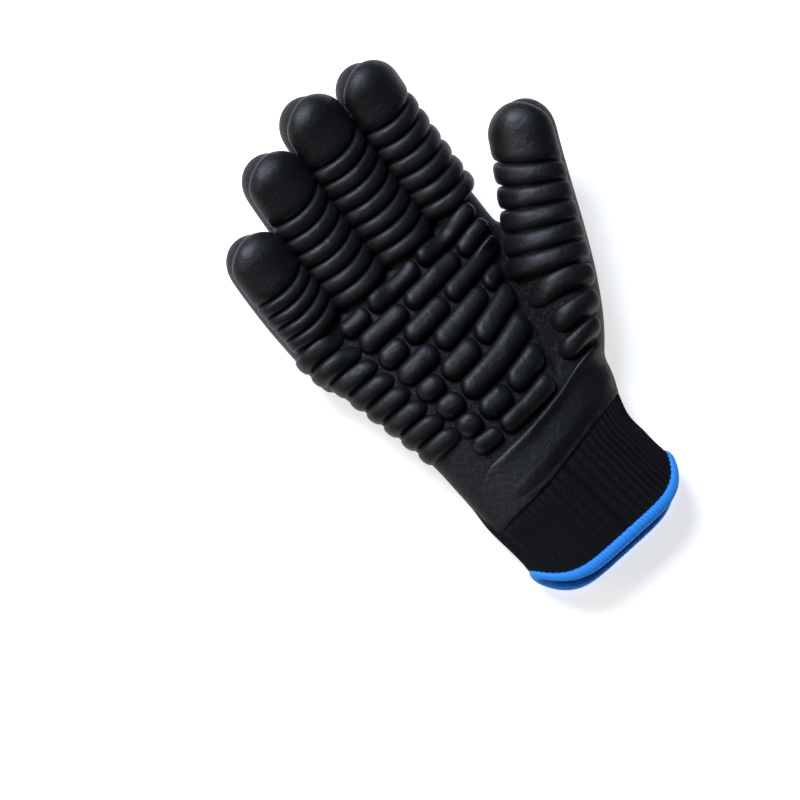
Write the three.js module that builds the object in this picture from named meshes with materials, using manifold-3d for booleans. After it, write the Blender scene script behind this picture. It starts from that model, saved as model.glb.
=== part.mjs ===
// Anti vibration work glove for the right hand, lying palm up: a knitted liner with a rubber
// coat over the fingers and the palm, moulded ribs and bars on the gripping side, and an
// overlocked hem. Millimetres, +X to the thumb side, +Y to the fingertips, +Z up.
import * as THREE from "three";
import { mergeVertices } from "three/addons/utils/BufferGeometryUtils.js";
import Module from "manifold-3d";

// Sizes of the middle finger; the other fingers are shares of them
const fingerWidth = 29;
const fingerDepth = 26;
const fingerReach = 90;
const fingerSlot = 0.9;
const fingerRoot = 24;

const thumbWidth = 30.5;
const thumbDepth = 27;
const thumbReach = 134;

// The smooth cushion over a fingertip, as a share of the digit's width, and the rounded end
const domeLengthShare = 0.98;
const tipShare = 0.52;

// The palm runs from the wrist to the webs between the fingers, the cuff from the wrist down
const palmReach = 114;
const palmDepth = 30;
const cuffWidth = 83;
const cuffDepth = 25;
const cuffReach = 47.5;
const cuffBow = 16;
const palmDrop = 2;

const rubberWall = 3;
const knitWall = 2;
const clearance = 0.3;
const floorPress = 1;

const hemReach = 5;
const hemProud = 1;

const ribRise = 4.6;
const ribSag = 5;
const thumbRibSag = 3;
const ribWeb = 1;
const barRise = 5.2;
const barGroove = 2.2;
const barCorner = 3.6;
const edgeRibRise = 4.2;
const heelRise = 2.6;
// The space between a groove's middle and the first rib beyond it
const ribStandOff = 1.5 * barGroove;

const bodySides = 24;
const digitSides = 14;
const liningSides = 10;
const stripSides = 14;
const stripSink = 1.4;
const longestEdge = 32;
const digitSquareness = 2.15;
const cuffSquareness = 2.5;
const palmSquareness = 2.7;

// width, depth and reach are shares of the middle finger's, the angles are degrees:
// fan and turn in plan at the root and at the tip, rise and curl off the floor at each
const fingers = [
  { name: "little", width: 0.95, depth: 0.93, reach: 0.61, fan: -4, turn: 5, rise: 7, curl: 26, ribs: 4 },
  { name: "ring", width: 0.97, depth: 0.97, reach: 0.89, fan: -1, turn: 4, rise: 5, curl: 30, ribs: 6 },
  { name: "middle", width: 1, depth: 1, reach: 1, fan: 2, turn: 3, rise: 5, curl: 30, ribs: 7 },
  { name: "index", width: 0.96, depth: 0.98, reach: 0.96, fan: 4, turn: 4, rise: 5, curl: 30, ribs: 6 },
];

// The ribs' tilt at a finger's root and at its tip
const fingerSkew = [-8, -19];

// The root is in shares of the palm's width, reach and depth, and the pad starts at a share
// of the thumb's reach; skews tilt the ribs at the root and at the tip
const thumb = {
  root: { across: 0.302, along: 0.17, up: 0.47 },
  fan: 34,
  turn: 28,
  rise: 3,
  curl: 22,
  roll: -16,
  skew: [-25, 27],
  ribs: 5,
  padFrom: 0.385,
};

// How full a digit is, at even steps from its root to its tip
const fingerGirth = [1, 1, 1, 0.98, 0.95];
const thumbGirth = [0.86, 1.14, 1.24, 1.2, 1.08, 0.97, 0.92];

// Sections from the hem to the webs: left and right are shares of the palm's width measured
// from the cuff's middle, width and depth shares of the cuff's or the palm's
const cuffSections = [
  { along: 1, width: 1.01, depth: 1 },
  { along: 0.82, width: 0.985, depth: 1 },
  { along: 0.5, width: 0.985, depth: 1 },
  { along: 0.15, width: 1, depth: 1.02 },
];
const palmSections = [
  { along: 0.12, left: -0.355, right: 0.44, depth: 0.9 },
  { along: 0.3, left: -0.355, right: 0.46, depth: 0.97 },
  { along: 0.46, left: -0.377, right: 0.45, depth: 1 },
  { along: 0.62, left: -0.402, right: 0.43, depth: 1 },
  { along: 0.78, left: -0.428, right: 0.45, depth: 0.99 },
  { along: 0.9, left: -0.45, right: 0.49, depth: 0.96 },
  { along: 0.97, left: -0.455, right: 0.52, depth: 0.87 },
  { along: 1, left: -0.45, right: 0.515, depth: 0.5 },
];

// Grooves between the rows of palm bars, as shares of the palm's reach at the little
// finger's side, in the middle and at the thumb's side
const rowGrooves = [
  { ulnar: 0.93, middle: 0.94, thumb: 0.972 },
  { ulnar: 0.835, middle: 0.85, thumb: 0.89 },
  { ulnar: 0.735, middle: 0.753, thumb: 0.806 },
  { ulnar: 0.635, middle: 0.652, thumb: 0.724 },
  { ulnar: 0.55, middle: 0.545, thumb: 0.65 },
  { ulnar: 0.465, middle: 0.438, thumb: 0.55 },
  { ulnar: 0.37, middle: 0.33, thumb: 0.43 },
  { ulnar: 0.27, middle: 0.224, thumb: 0.31 },
  { ulnar: 0.185, middle: 0.142, thumb: 0.193 },
];
const grooveStations = { ulnar: -0.38, middle: -0.035, thumb: 0.361 };

// Each row runs from the edge rib to its end and is split into bars, at shares of the
// palm's width
const barRows = [
  { splits: [-0.14, 0.131], end: 0.455 },
  { splits: [-0.0235, 0.2825], end: 0.455 },
  { splits: [-0.135, 0.1165], end: 0.435 },
  { splits: [-0.049, 0.261], end: 0.37 },
  { splits: [-0.13, 0.084], end: 0.342 },
  { splits: [-0.12], end: 0.293 },
  { splits: [-0.125, 0.048], end: 0.246 },
  { splits: [-0.1], end: 0.195 },
];
// The ribs over the palm's outer edge run down beside this many rows of bars
const edgeRibRows = 7;
const edgeRibCount = 8;
const edgeRibReach = 18;
const edgeRibSlope = 0.12;
const edgeRibFoot = 0.45;

// Bars on the ball of the thumb narrow to the outside: ends as shares of the palm's width and
// reach, widths at the two ends as shares of its reach
const thumbBars = [
  { left: [0.361, 0.495], right: [0.61, 0.405], inner: 0.104, outer: 0.078 },
  { left: [0.342, 0.352], right: [0.565, 0.326], inner: 0.1, outer: 0.072 },
  { left: [0.3, 0.248], right: [0.497, 0.25], inner: 0.084, outer: 0.055 },
];
// The broad cushion over the heel of the hand: its ends as shares of the palm's width, and
// how far it stays from the coat's edge
const heelPad = { left: -0.31, footRight: 0.34, topRight: 0.42, margin: 3 };

// Where the coat ends: the heel edge runs across the palm side, the back edge across the back
const heelEdge = [
  { across: 0.7, along: 0.06 },
  { across: 0.5, along: 0.045 },
  { across: 0.35, along: 0 },
  { across: 0.11, along: -0.056 },
  { across: -0.15, along: -0.097 },
  { across: -0.7, along: -0.1 },
];
const backEdge = [
  { across: -0.7, along: 0.66 },
  { across: 0.1, along: 0.63 },
  { across: 0.3, along: 0.55 },
  { across: 0.4, along: 0.36 },
  { across: 0.36, along: 0.1 },
  { across: 0.34, along: -0.3 },
];
const coatEdgeHeight = 0.42;

const slots = fingers.length - 1;
const palmWidth = fingers.reduce((sum, row) => sum + row.width * fingerWidth, slots * fingerSlot);
const knuckleLeft = -0.472 * palmWidth;
const wasm = await Module();
wasm.setup();

const radians = THREE.MathUtils.degToRad;

function direction(plan, rise) {
  const ahead = new THREE.Vector3(0, Math.cos(radians(rise)), Math.sin(radians(rise)));
  return ahead.applyAxisAngle(new THREE.Vector3(0, 0, -1), radians(plan));
}

// A digit's middle line starts along one direction and ends along the other
function digitLine(root, reach, first, last) {
  const bend = root.clone().addScaledVector(first, reach / 2);
  return new THREE.QuadraticBezierCurve3(root, bend, bend.clone().addScaledVector(last, reach / 2));
}

function makeFingers() {
  let left = knuckleLeft;
  return fingers.map((row) => {
    const width = row.width * fingerWidth;
    const root = new THREE.Vector3(left + width / 2, palmReach - fingerRoot, palmDepth / 2);
    const palmEdge = grooveY(rowGrooves[0], root.x / palmWidth);
    root.x -= fingerRoot * Math.tan(radians(row.fan));
    left += width + fingerSlot;
    const reach = row.reach * fingerReach + fingerRoot;
    return {
      name: row.name,
      width,
      depth: row.depth * fingerDepth,
      line: digitLine(root, reach, direction(row.fan, row.rise), direction(row.turn, row.curl)),
      reach,
      roll: 0,
      skew: fingerSkew,
      sag: ribSag,
      ribs: row.ribs,
      padStart: palmEdge - root.y + ribSag + ribStandOff,
      girth: fingerGirth,
    };
  });
}

function makeThumb() {
  const { across, along, up } = thumb.root;
  const root = new THREE.Vector3(across * palmWidth, along * palmReach, up * palmDepth);
  const [first, last] = [direction(thumb.fan, thumb.rise), direction(thumb.turn, thumb.curl)];
  return {
    name: "thumb",
    width: thumbWidth,
    depth: thumbDepth,
    line: digitLine(root, thumbReach, first, last),
    reach: thumbReach,
    roll: thumb.roll,
    skew: thumb.skew,
    sag: thumbRibSag,
    ribs: thumb.ribs,
    padStart: thumb.padFrom * thumbReach,
    girth: thumbGirth,
  };
}

function ovalPoint(angle, halfWidth, halfDepth, squareness) {
  const c = Math.cos(angle);
  const s = Math.sin(angle);
  const power = 2 / squareness;
  return new THREE.Vector2(
    halfWidth * Math.sign(c) * Math.abs(c) ** power,
    halfDepth * Math.sign(s) * Math.abs(s) ** power,
  );
}

function tabulate(count, make) {
  return Array.from({ length: count }, (_, i) => make(i));
}

// A closed body through rings that all have the same number of points
function loft(rings) {
  const sides = rings[0].length;
  const last = rings.length - 1;
  const centres = [rings[0], rings[last]].map((ring) =>
    ring.reduce((sum, point) => sum.add(point), new THREE.Vector3()).divideScalar(sides),
  );
  const index = [];
  for (let j = 0; j < last; j += 1) {
    for (let i = 0; i < sides; i += 1) {
      const next = (i + 1) % sides;
      const [a, b] = [j * sides + i, j * sides + next];
      index.push(a, a + sides, b, b, a + sides, b + sides);
    }
  }
  const start = rings.length * sides;
  for (let i = 0; i < sides; i += 1) {
    const next = (i + 1) % sides;
    index.push(start, i, next, start + 1, last * sides + next, last * sides + i);
  }
  const points = [...rings.flat(), ...centres];
  return new THREE.BufferGeometry().setFromPoints(points).setIndex(index);
}

function solidOf(geometry) {
  const merged = mergeVertices(geometry, 1e-4);
  return new wasm.Manifold(
    new wasm.Mesh({
      numProp: 3,
      vertProperties: merged.attributes.position.array,
      triVerts: Uint32Array.from(merged.index.array),
    }),
  );
}

function geometryOf(solid) {
  const mesh = solid.getMesh();
  const geometry = new THREE.BufferGeometry();
  geometry.setAttribute("position", new THREE.BufferAttribute(mesh.vertProperties, 3));
  geometry.setIndex(new THREE.BufferAttribute(mesh.triVerts, 1));
  geometry.computeVertexNormals();
  return geometry;
}

function joined(solids) {
  return solids.reduce((whole, solid) => whole.add(solid));
}

// Half sizes of a digit at a distance from its root, grown by a margin on every side
function digitHalves(digit, distance, grow) {
  const tip = digit.width * tipShare;
  const into = Math.max(0, (distance - (digit.reach - tip)) / (tip + grow));
  const dome = Math.sqrt(Math.max(0, 1 - into * into));
  const place = THREE.MathUtils.clamp(distance / digit.reach, 0, 1) * (digit.girth.length - 1);
  const step = Math.min(Math.floor(place), digit.girth.length - 2);
  const girth = THREE.MathUtils.lerp(digit.girth[step], digit.girth[step + 1], place - step);
  return {
    halfWidth: ((digit.width / 2) * girth + grow) * dome,
    halfDepth: ((digit.depth / 2) * girth + grow) * dome,
  };
}

function digitFrame(digit, distance) {
  const share = THREE.MathUtils.clamp(distance / digit.reach, 0, 1);
  const ahead = digit.line.getTangentAt(share);
  const centre = digit.line.getPointAt(share).addScaledVector(ahead, distance - share * digit.reach);
  const side = new THREE.Vector3(ahead.y, -ahead.x, 0).normalize();
  const up = new THREE.Vector3().crossVectors(side, ahead);
  const roll = radians(digit.roll) * share;
  return { centre, ahead, side: side.applyAxisAngle(ahead, roll), up: up.applyAxisAngle(ahead, roll) };
}

function digitRing(digit, distance, grow, sides) {
  const { centre, side, up } = digitFrame(digit, distance);
  const { halfWidth, halfDepth } = digitHalves(digit, distance, grow);
  return tabulate(sides, (i) => {
    const oval = ovalPoint((2 * Math.PI * i) / sides, halfWidth, halfDepth, digitSquareness);
    const point = centre.clone().addScaledVector(side, oval.x).addScaledVector(up, oval.y);
    point.z = Math.max(point.z, -grow);
    return point;
  });
}

// The digit's body, with evenly spaced rings up to the dome and closer ones over it, the
// last of them just short of the pole
function digitBody(digit, grow, sides, bodyRings, domeRings) {
  const tip = digit.width * tipShare + grow;
  const domeStart = digit.reach + grow - tip;
  const domeArc = 0.485 * Math.PI;
  const distances = tabulate(bodyRings, (i) => (domeStart * i) / bodyRings);
  for (let i = 0; i < domeRings; i += 1) {
    distances.push(domeStart + tip * Math.sin((domeArc * i) / (domeRings - 1)));
  }
  return loft(distances.map((distance) => digitRing(digit, distance, grow, sides)));
}

function sectionRing(section, grow) {
  const halfWidth = (section.right - section.left) / 2 + grow;
  const halfDepth = section.depth / 2 + grow;
  const middle = section.height + section.depth / 2;
  return tabulate(bodySides, (i) => {
    const angle = (2 * Math.PI * i) / bodySides;
    const oval = ovalPoint(angle, halfWidth, halfDepth, section.squareness);
    const bow = section.bow * Math.cos(angle) ** 4;
    return new THREE.Vector3(
      (section.left + section.right) / 2 + oval.x,
      section.y + bow,
      Math.max(middle + oval.y, -grow),
    );
  });
}

function cuffSection(row) {
  const width = row.width * cuffWidth;
  const depth = row.depth * cuffDepth;
  return {
    y: -row.along * cuffReach,
    left: -width / 2,
    right: width / 2,
    depth,
    height: -floorPress,
    bow: cuffBow * row.along ** 2,
    squareness: cuffSquareness,
  };
}

function palmSection(row) {
  const depth = row.depth * palmDepth;
  return {
    y: row.along * palmReach,
    left: row.left * palmWidth,
    right: row.right * palmWidth,
    depth,
    height: Math.max(0, (palmDepth - depth) / 2 - palmDrop) - floorPress,
    bow: 0,
    squareness: palmSquareness,
  };
}

// The hand's form without its digits; its cuff end can be carried past the hem
function handBody(grow, pastHem) {
  const sections = [...cuffSections.map(cuffSection), ...palmSections.map(palmSection)];
  sections[0].y -= pastHem;
  return loft(sections.map((section) => sectionRing(section, grow)));
}

function handSolid(grow, pastHem, sides, rings) {
  const bodies = digits.map((digit) => solidOf(digitBody(digit, grow, sides, rings, 4)));
  return joined([solidOf(handBody(grow, pastHem)), ...bodies]);
}

// An upright prism over an outline in plan
function prism(outline, low, high) {
  const shape = new THREE.Shape(outline);
  const geometry = new THREE.ExtrudeGeometry(shape, { depth: high - low, bevelEnabled: false });
  geometry.deleteAttribute("normal");
  geometry.deleteAttribute("uv");
  geometry.translate(0, 0, low);
  return solidOf(geometry);
}

// The space where the liner shows: all of the cuff, and the back of the hand up to the edge
function linerSpace(pull) {
  const far = -2 * cuffReach;
  const tall = palmDepth * 2;
  const edgePoint = (row, inward) =>
    new THREE.Vector2(row.across * palmWidth - inward, row.along * palmReach - pull);
  const heel = heelEdge.map((row) => edgePoint(row, 0));
  const back = backEdge.map((row) => edgePoint(row, pull));
  const below = (points) =>
    [points[0], points[points.length - 1]].map((point) => new THREE.Vector2(point.x, far));
  const [heelRight, heelLeft] = below(heel);
  const [backLeft, backRight] = below(back);
  const cuffSpace = prism([...heel, heelLeft, heelRight], -tall, tall);
  const backSpace = prism([...back, backRight, backLeft], -tall, coatEdgeHeight * palmDepth - pull);
  return cuffSpace.add(backSpace);
}

// How thick a pad is at a distance along its digit: a dome over the fingertip, then ribs
function stripStations(digit) {
  const domeLength = digit.width * domeLengthShare;
  const domeStart = digit.reach - domeLength;
  const pitch = (domeStart - digit.padStart) / digit.ribs;
  const profile = [
    { at: 0, rise: 0 },
    { at: 0.27, rise: 0.95 },
    { at: 0.73, rise: 0.95 },
  ];
  const domeProfile = [
    { at: 0, rise: 0 },
    { at: 0.08, rise: 0.85 },
    { at: 0.3, rise: 1 },
    { at: 0.6, rise: 1 },
    { at: 0.8, rise: 0.8 },
    { at: 0.91, rise: 0.4 },
    { at: 0.96, rise: -0.6 },
  ];
  const stations = [{ distance: digit.padStart - pitch * 0.1, rise: -0.6 }];
  for (let rib = 0; rib < digit.ribs; rib += 1) {
    for (const step of profile) {
      stations.push({ distance: digit.padStart + pitch * (rib + step.at), rise: step.rise });
    }
  }
  for (const step of domeProfile) {
    stations.push({ distance: domeStart + domeLength * step.at, rise: step.rise });
  }
  return stations;
}

function stripRing(digit, station) {
  const { centre, ahead, side, up } = digitFrame(digit, station.distance);
  const { halfWidth, halfDepth } = digitHalves(digit, station.distance, clearance);
  const [ribEnd, fadeEnd] = [digit.reach - digit.width, digit.reach - digit.width / 3];
  const ribbed = 1 - THREE.MathUtils.smoothstep(station.distance, ribEnd, fadeEnd);
  const skew = radians(THREE.MathUtils.lerp(...digit.skew, station.distance / digit.reach));
  const thick = station.rise < 0 ? station.rise * stripSink : ribWeb + station.rise * (ribRise - ribWeb);
  return tabulate(stripSides, (i) => {
    const angle = (2 * Math.PI * i) / stripSides;
    const cover = THREE.MathUtils.smoothstep(Math.sin(angle), 0, 0.6);
    const grow = thick * cover - stripSink * (1 - cover);
    const oval = ovalPoint(
      angle,
      Math.max(halfWidth + grow, clearance),
      Math.max(halfDepth + grow, clearance),
      digitSquareness,
    );
    const across = THREE.MathUtils.clamp(oval.x, -halfWidth, halfWidth);
    const slant = digit.sag * Math.max(0, Math.sin(angle)) ** 2 + across * Math.tan(skew);
    return centre
      .clone()
      .addScaledVector(side, across)
      .addScaledVector(up, oval.y)
      .addScaledVector(ahead, -slant * ribbed);
  });
}

function padStrip(digit) {
  const rings = stripStations(digit).map((station) => stripRing(digit, station));
  return solidOf(loft(rings)).subtract(coatSkin);
}

// The place on the coat's skin that lies behind a point, looking along a direction
function landing(point, look) {
  caster.set(point.clone().addScaledVector(look, -2 * palmReach), look);
  const hits = caster.intersectObject(skinMesh);
  return hits.length > 0 ? hits[0].point : point;
}

// Outline of a unit rectangle with cut corners: u runs along a bar and v across it
function barOutline(length, width, edge) {
  const du = Math.min(0.45, barCorner / length);
  const dv = Math.min(0.45, barCorner / width);
  const parts = Math.ceil(length / edge);
  const between = tabulate(parts - 1, (i) => (i + 1) / parts);
  return [
    [0, dv],
    [du, 0],
    ...between.map((u) => [u, 0]),
    [1 - du, 0],
    [1, dv],
    [1, 1 - dv],
    [1 - du, 1],
    ...between.reverse().map((u) => [u, 1]),
    [du, 1],
    [0, 1 - dv],
  ];
}

// A cushion standing on the coat. shape turns u and v into a place in plan, measured along
// the two given axes, and look is the way the cushion is pressed on
function cushion(shape, rise, look, across, along, edge = longestEdge) {
  const length = shape(1, 0.5).distanceTo(shape(0, 0.5));
  const width = shape(0.5, 1).distanceTo(shape(0.5, 0));
  const keep = Math.min(0.5, width / 2 / length);
  const levels = [
    { inset: 0.04, height: -stripSink },
    { inset: 0, height: rise * 0.5 },
    { inset: 0.42, height: rise },
  ];
  const rings = levels.map(({ inset, height }) =>
    barOutline(length, width, edge).map(([u, v]) => {
      const spineU = THREE.MathUtils.clamp(u, keep, 1 - keep);
      const inward = [THREE.MathUtils.lerp(u, spineU, inset), THREE.MathUtils.lerp(v, 0.5, inset)];
      const plan = shape(...inward);
      const place = new THREE.Vector3().addScaledVector(across, plan.x).addScaledVector(along, plan.y);
      return landing(place, look).clone().addScaledVector(look, -height);
    }),
  );
  return solidOf(loft(rings.map((ring) => ring.slice().reverse()))).subtract(coatSkin);
}

// A flat patch over four corners: left and right at the foot, then right and left at the top
function patch([footLeft, footRight, topRight, topLeft]) {
  return (u, v) => footLeft.clone().lerp(footRight, u).lerp(topLeft.clone().lerp(topRight, u), v);
}

const downward = new THREE.Vector3(0, 0, -1);
const alongX = new THREE.Vector3(1, 0, 0);
const alongY = new THREE.Vector3(0, 1, 0);

// A groove is the parabola through its three places
function grooveY(groove, share) {
  const sides = Object.keys(grooveStations);
  const along = sides.reduce((sum, side) => {
    const others = sides.filter((other) => other !== side).map((other) => grooveStations[other]);
    const weight = others.reduce(
      (product, other) => (product * (share - other)) / (grooveStations[side] - other),
      1,
    );
    return sum + weight * groove[side];
  }, 0);
  return along * palmReach;
}

// Reads a value off a chain of points, straight between neighbours
function onChain(points, at) {
  const next = Math.max(1, points.findIndex((point) => point.x > at));
  const [a, b] = [points[next - 1], points[next]];
  return THREE.MathUtils.mapLinear(at, a.x, b.x, a.y, b.y);
}

// The palm's outline on the little finger's side, from its sections
function palmLeft(y) {
  return onChain(palmSections.map(palmSection).map((row) => new THREE.Vector2(row.y, row.left)), y);
}

function palmBar(row, from, to) {
  const shape = (u, v) => {
    const x = THREE.MathUtils.lerp(from, to, u);
    const foot = grooveY(rowGrooves[row + 1], x / palmWidth) + barGroove / 2;
    const top = grooveY(rowGrooves[row], x / palmWidth) - barGroove / 2;
    return new THREE.Vector2(x, THREE.MathUtils.lerp(foot, top, v));
  };
  return cushion(shape, barRise, downward, alongX, alongY);
}

// The bars of a row, from the edge rib to the row's end
function rowOfBars(row) {
  const [foot, top] = [rowGrooves[row + 1], rowGrooves[row]];
  const middle = (grooveY(foot, grooveStations.ulnar) + grooveY(top, grooveStations.ulnar)) / 2;
  const half = barGroove / 2;
  const cuts = [
    palmLeft(middle) + edgeRibReach + ribStandOff - half,
    ...barRows[row].splits.map((share) => share * palmWidth),
    barRows[row].end * palmWidth + half,
  ];
  return tabulate(cuts.length - 1, (i) => palmBar(row, cuts[i] + half, cuts[i + 1] - half));
}

function thumbBar(row) {
  const place = ([across, along]) => new THREE.Vector2(across * palmWidth, along * palmReach);
  const [left, right] = [place(row.left), place(row.right)];
  const run = right.clone().sub(left).normalize();
  const square = new THREE.Vector2(-run.y, run.x).multiplyScalar(palmReach / 2);
  const corners = [
    left.clone().addScaledVector(square, -row.inner),
    right.clone().addScaledVector(square, -row.outer),
    right.clone().addScaledVector(square, row.outer),
    left.clone().addScaledVector(square, row.inner),
  ];
  return cushion(patch(corners), barRise, downward, alongX, alongY);
}

// Ribs on the little finger's side of the palm lie over its rounded edge
function edgeRib(number) {
  const look = new THREE.Vector3(1, 0, -1).normalize();
  const across = new THREE.Vector3(1, 0, 1).normalize();
  const [first, last] = [0, edgeRibRows].map((row) => grooveY(rowGrooves[row], grooveStations.ulnar));
  const pitch = (first - last) / edgeRibCount;
  const top = first - number * pitch - barGroove / 2;
  const foot = top - pitch + barGroove;
  const [low, high] = [palmDepth * edgeRibFoot, palmDepth - floorPress];
  const corner = (y, inward, height) => {
    const point = new THREE.Vector3(palmLeft(y) + inward, 0, height);
    return new THREE.Vector2(point.dot(across), y - inward * edgeRibSlope);
  };
  const corners = [
    corner(foot, 0, low),
    corner(foot, edgeRibReach, high),
    corner(top, edgeRibReach, high),
    corner(top, 0, low),
  ];
  return cushion(patch(corners), edgeRibRise, look, across, alongY);
}

function heelCushion() {
  const edge = heelEdge
    .map((row) => new THREE.Vector2(row.across * palmWidth, row.along * palmReach))
    .reverse();
  const lastGroove = rowGrooves[rowGrooves.length - 1];
  const shape = (u, v) => {
    const right = THREE.MathUtils.lerp(heelPad.footRight, heelPad.topRight, v);
    const share = THREE.MathUtils.lerp(heelPad.left, right, u);
    const foot = onChain(edge, share * palmWidth) + heelPad.margin;
    const top = grooveY(lastGroove, share) - barGroove;
    return new THREE.Vector2(share * palmWidth, THREE.MathUtils.lerp(foot, top, v));
  };
  return cushion(shape, heelRise, downward, alongX, alongY, longestEdge / 2);
}

// The hem wraps the cuff's edge: a closed band whose outline is stepped round the cuff
function hemBand(grow) {
  const end = cuffSection(cuffSections[0]);
  const outer = sectionRing(end, knitWall - rubberWall + hemProud + grow);
  const inner = sectionRing(end, -rubberWall - hemProud / 2 - grow);
  const profile = [
    { out: 0, down: 0 },
    { out: 1, down: 0 },
    { out: 1, down: 0.7 },
    { out: 0.7, down: 1 },
    { out: 0.3, down: 1 },
    { out: 0, down: 0.7 },
  ];
  const sides = profile.length;
  const points = [];
  const index = [];
  outer.forEach((outside, i) => {
    for (const step of profile) {
      const point = inner[i].clone().lerp(outside, step.out);
      point.y += grow - step.down * (hemReach + 2 * grow);
      points.push(point);
    }
    const next = ((i + 1) % outer.length) * sides;
    for (let j = 0; j < sides; j += 1) {
      const [a, b] = [i * sides + j, i * sides + ((j + 1) % sides)];
      const [c, d] = [next + j, next + ((j + 1) % sides)];
      index.push(a, c, b, b, c, d);
    }
  });
  return solidOf(new THREE.BufferGeometry().setFromPoints(points).setIndex(index));
}

const digits = [...makeFingers(), makeThumb()];
const handOuter = handSolid(0, 0, digitSides, 5);
const handInner = handSolid(-rubberWall, 3 * hemReach, liningSides, 4);
const coatSkin = handSolid(clearance, 0, digitSides, 5);
const skinMesh = new THREE.Mesh(geometryOf(coatSkin));
const caster = new THREE.Raycaster();

const rubberShell = handOuter.subtract(handInner).subtract(linerSpace(0));
const knitOuter = solidOf(handBody(knitWall - rubberWall, hemReach / 2)).subtract(hemBand(clearance));
const knitLiner = knitOuter.subtract(handInner).intersect(linerSpace(clearance));

const rubber = new THREE.MeshStandardMaterial({ color: 0x14161a, roughness: 0.42, metalness: 0 });
const padRubber = new THREE.MeshStandardMaterial({ color: 0x17191d, roughness: 0.38, metalness: 0 });
const knit = new THREE.MeshStandardMaterial({ color: 0x090b0d, roughness: 0.95, metalness: 0 });
const hemYarn = new THREE.MeshStandardMaterial({ color: 0x197de1, roughness: 0.8, metalness: 0 });

const glove = new THREE.Group();

function addPiece(name, solid, material) {
  const mesh = new THREE.Mesh(geometryOf(solid), material);
  mesh.name = name;
  glove.add(mesh);
}

addPiece("rubber_shell", rubberShell, rubber);
addPiece("knit_liner", knitLiner, knit);
addPiece("cuff_hem", hemBand(0), hemYarn);
for (const digit of digits) {
  addPiece("pad_" + digit.name, padStrip(digit), padRubber);
}
for (let row = 0; row < barRows.length; row += 1) {
  rowOfBars(row).forEach((bar, i) => addPiece(`bar_${row + 1}_${i + 1}`, bar, padRubber));
}
thumbBars.forEach((row, i) => addPiece(`thumb_bar_${i + 1}`, thumbBar(row), padRubber));
for (let i = 0; i < edgeRibCount; i += 1) {
  addPiece(`edge_rib_${i + 1}`, edgeRib(i), padRubber);
}
addPiece("heel_pad", heelCushion(), padRubber);

// The origin goes to the middle of the footprint, on the floor
const box = new THREE.Box3().setFromObject(glove);
const centre = box.getCenter(new THREE.Vector3());
glove.position.set(-centre.x, -centre.y, -box.min.z);

export default glove;
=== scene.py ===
import bisect
import math

import bmesh
import bpy
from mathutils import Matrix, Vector, noise
from mathutils.bvhtree import BVHTree


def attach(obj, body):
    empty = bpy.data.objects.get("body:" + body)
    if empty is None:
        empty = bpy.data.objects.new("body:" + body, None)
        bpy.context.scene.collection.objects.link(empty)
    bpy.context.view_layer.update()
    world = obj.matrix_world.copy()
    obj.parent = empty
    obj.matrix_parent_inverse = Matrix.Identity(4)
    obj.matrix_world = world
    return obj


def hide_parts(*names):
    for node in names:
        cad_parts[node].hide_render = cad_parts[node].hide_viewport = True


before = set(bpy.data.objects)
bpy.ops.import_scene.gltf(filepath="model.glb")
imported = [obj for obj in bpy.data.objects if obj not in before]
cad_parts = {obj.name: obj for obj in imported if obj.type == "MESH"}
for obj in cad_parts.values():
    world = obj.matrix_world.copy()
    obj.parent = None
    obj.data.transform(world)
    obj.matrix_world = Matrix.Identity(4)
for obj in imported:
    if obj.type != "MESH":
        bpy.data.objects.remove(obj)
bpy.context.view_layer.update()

MM = 0.001


# ---- Camera, floor and light
# A pale paper floor, one large soft box beyond the fingertips, a weaker one from the other
# side, and a camera that looks down steeply, as the photograph does.
PICTURE_WIDE = 800
LENS = 85.0
SENSOR = 36.0
AZIMUTH = math.radians(-42)
ELEVATION = math.radians(70)
CAMERA_DEPTH = 0.84
AIM_PIXEL = (470, 330)
AIM = Vector((-0.0153, -0.0084, 0.030))
NEAREST = 0.01
FLOOR_SIZE = 20


def srgb(code):
    parts = [int(code[i:i + 2], 16) / 255 for i in (1, 3, 5)]
    return [p / 12.92 if p <= 0.04045 else ((p + 0.055) / 1.055) ** 2.4 for p in parts] + [1.0]


def add_node(tree, kind, settings=(), links=()):
    node = tree.nodes.new(kind)
    for name, value in dict(settings).items():
        if isinstance(name, int) or name in node.inputs:
            node.inputs[name].default_value = value
        else:
            setattr(node, name, value)
    for name, source in dict(links).items():
        tree.links.new(source, node.inputs[name])
    return node


def new_material(name):
    material = bpy.data.materials.new(name)
    material.use_nodes = True
    tree = material.node_tree
    tree.nodes.clear()
    return material, tree


def finish_material(tree, shader):
    add_node(tree, "ShaderNodeOutputMaterial", links={"Surface": shader.outputs[0]})


focal = LENS / SENSOR * PICTURE_WIDE
right = Vector((math.cos(AZIMUTH), math.sin(AZIMUTH), 0))
back = Vector((
    math.sin(AZIMUTH) * math.cos(ELEVATION),
    -math.cos(AZIMUTH) * math.cos(ELEVATION),
    math.sin(ELEVATION),
))
up = back.cross(right)
sideways = (AIM_PIXEL[0] - PICTURE_WIDE / 2) / focal
upwards = (PICTURE_WIDE / 2 - AIM_PIXEL[1]) / focal
bpy.ops.object.select_all(action="DESELECT")
bpy.ops.object.camera_add(
    location=AIM - CAMERA_DEPTH * (right * sideways + up * upwards - back),
    rotation=(math.pi / 2 - ELEVATION, 0, AZIMUTH),
)
camera = bpy.context.object
camera.data.lens = LENS
camera.data.sensor_width = SENSOR
camera.data.clip_start = NEAREST
bpy.context.scene.camera = camera

bpy.ops.mesh.primitive_plane_add(size=FLOOR_SIZE, location=(0, 0, 0))
floor = bpy.context.object
floor.name = "floor"
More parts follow.
